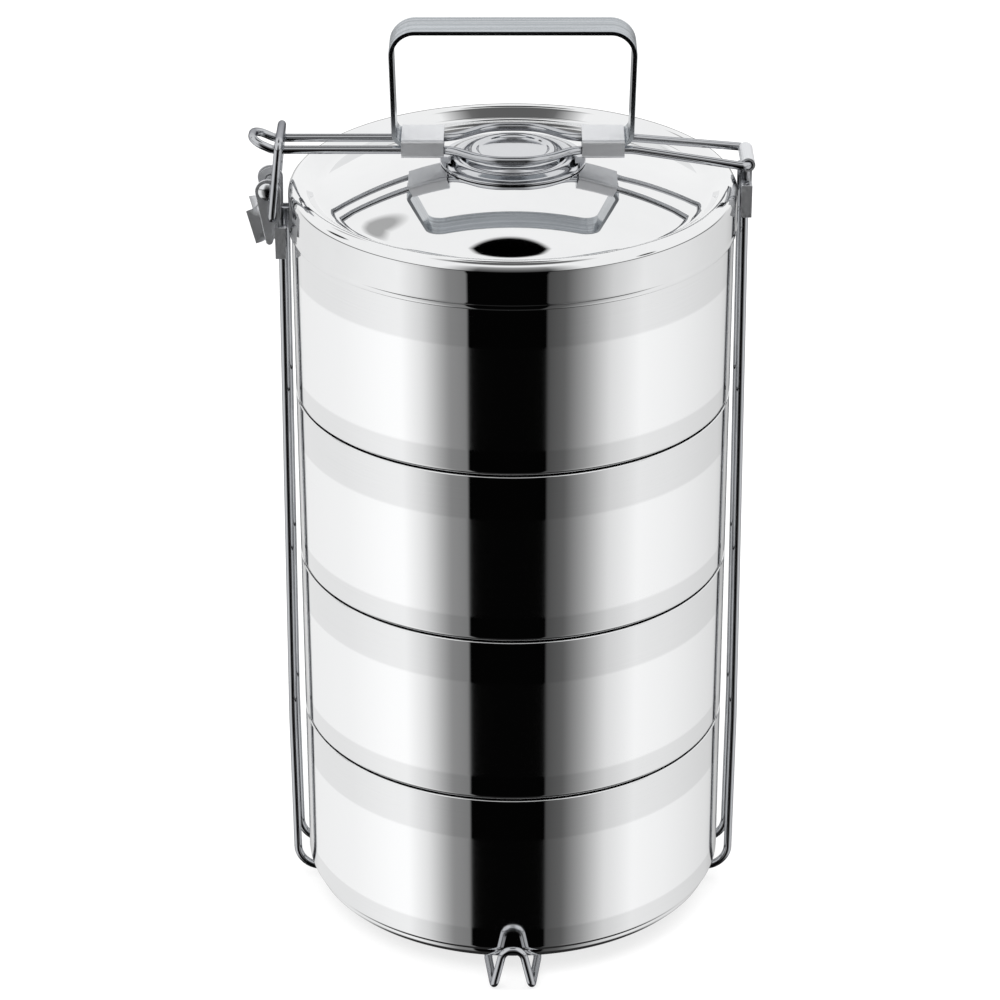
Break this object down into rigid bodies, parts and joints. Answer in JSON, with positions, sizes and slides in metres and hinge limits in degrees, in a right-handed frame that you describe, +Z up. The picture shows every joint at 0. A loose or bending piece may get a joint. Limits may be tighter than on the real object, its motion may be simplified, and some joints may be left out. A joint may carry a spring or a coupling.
{
  "type": "tiffin carrier",
  "caption": "Stacked round steel food bowls with a domed lid, held in a wire frame by a hinged top wire, a toggle latch and a flat carrying handle.",
  "frame": {"origin": "centre of the overall box's base, on the floor; the stack's own axis is 4.1 mm towards +X of it, because the latch reaches out further than the hinge", "axes": "+Z up along the stack, -Y the front, +X the hinge, -X the latch"},
  "size_m": [0.1799, 0.1786, 0.3453],
  "materials": {
    "bowl_steel": "mirror polished stainless steel, with a satin band round the middle of each bowl",
    "wire_steel": "bright drawn stainless wire",
    "sheet_steel": "bright folded sheet steel",
    "handle_steel": "satin steel strip with fine ribs along it"
  },
  "bodies": {
    "frame": {"side_wire_front": "wire_steel", "side_wire_back": "wire_steel", "foot_wire": "wire_steel", "hinge_bracket": "sheet_steel", "latch_bracket": "sheet_steel", "latch_rivet": "sheet_steel"},
    "top": {"top_wire": "wire_steel", "handle_strip": "handle_steel", "handle_clip_left": "sheet_steel", "handle_clip_right": "sheet_steel"},
    "lever": {"latch_lever": "sheet_steel"},
    "loop": {"latch_loop": "wire_steel"},
    "tier_1": {"bowl_1": "bowl_steel"},
    "tier_2": {"bowl_2": "bowl_steel"},
    "tier_3": {"bowl_3": "bowl_steel"},
    "tier_4": {"bowl_4": "bowl_steel"},
    "cover": {"lid": "bowl_steel", "lid_knob": "bowl_steel"}
  },
  "joints": [
    {"name": "top_swing", "type": "hinge", "parent": "frame", "child": "top", "pos_m": [0.08735, 0, 0.29569], "axis": [0, 1, 0], "range_deg": [0, 210]},
    {"name": "lever_swing", "type": "hinge", "parent": "frame", "child": "lever", "pos_m": [-0.08315, 0, 0.28529], "axis": [0, 1, 0], "range_deg": [0, 120]},
    {"name": "loop_swing", "type": "hinge", "parent": "lever", "child": "loop", "pos_m": [-0.08175, 0, 0.27599], "axis": [0, 1, 0], "range_deg": [-120, 0]},
    {"name": "bowl_1_lift", "type": "slide", "parent": "frame", "child": "tier_1", "axis": [0, 0, 1], "range_m": [0, 0.0095]},
    {"name": "bowl_2_lift", "type": "slide", "parent": "tier_1", "child": "tier_2", "axis": [0, 0, 1], "range_m": [0, 0.0095]},
    {"name": "bowl_3_lift", "type": "slide", "parent": "tier_2", "child": "tier_3", "axis": [0, 0, 1], "range_m": [0, 0.0095]},
    {"name": "bowl_4_lift", "type": "slide", "parent": "tier_3", "child": "tier_4", "axis": [0, 0, 1], "range_m": [0, 0.0095]},
    {"name": "lid_lift", "type": "slide", "parent": "tier_4", "child": "cover", "axis": [0, 0, 1], "range_m": [0, 0.0095]}
  ],
  "couplings": [
    {"joint": "loop_swing", "follows": "lever_swing", "ratio": -1},
    {"joint": "bowl_1_lift", "follows": "lid_lift", "ratio": 1},
    {"joint": "bowl_2_lift", "follows": "lid_lift", "ratio": 1},
    {"joint": "bowl_3_lift", "follows": "lid_lift", "ratio": 1},
    {"joint": "bowl_4_lift", "follows": "lid_lift", "ratio": 1},
    {"joint": "top_swing", "follows": "lid_lift", "rad_per_m": 385}
  ]
}
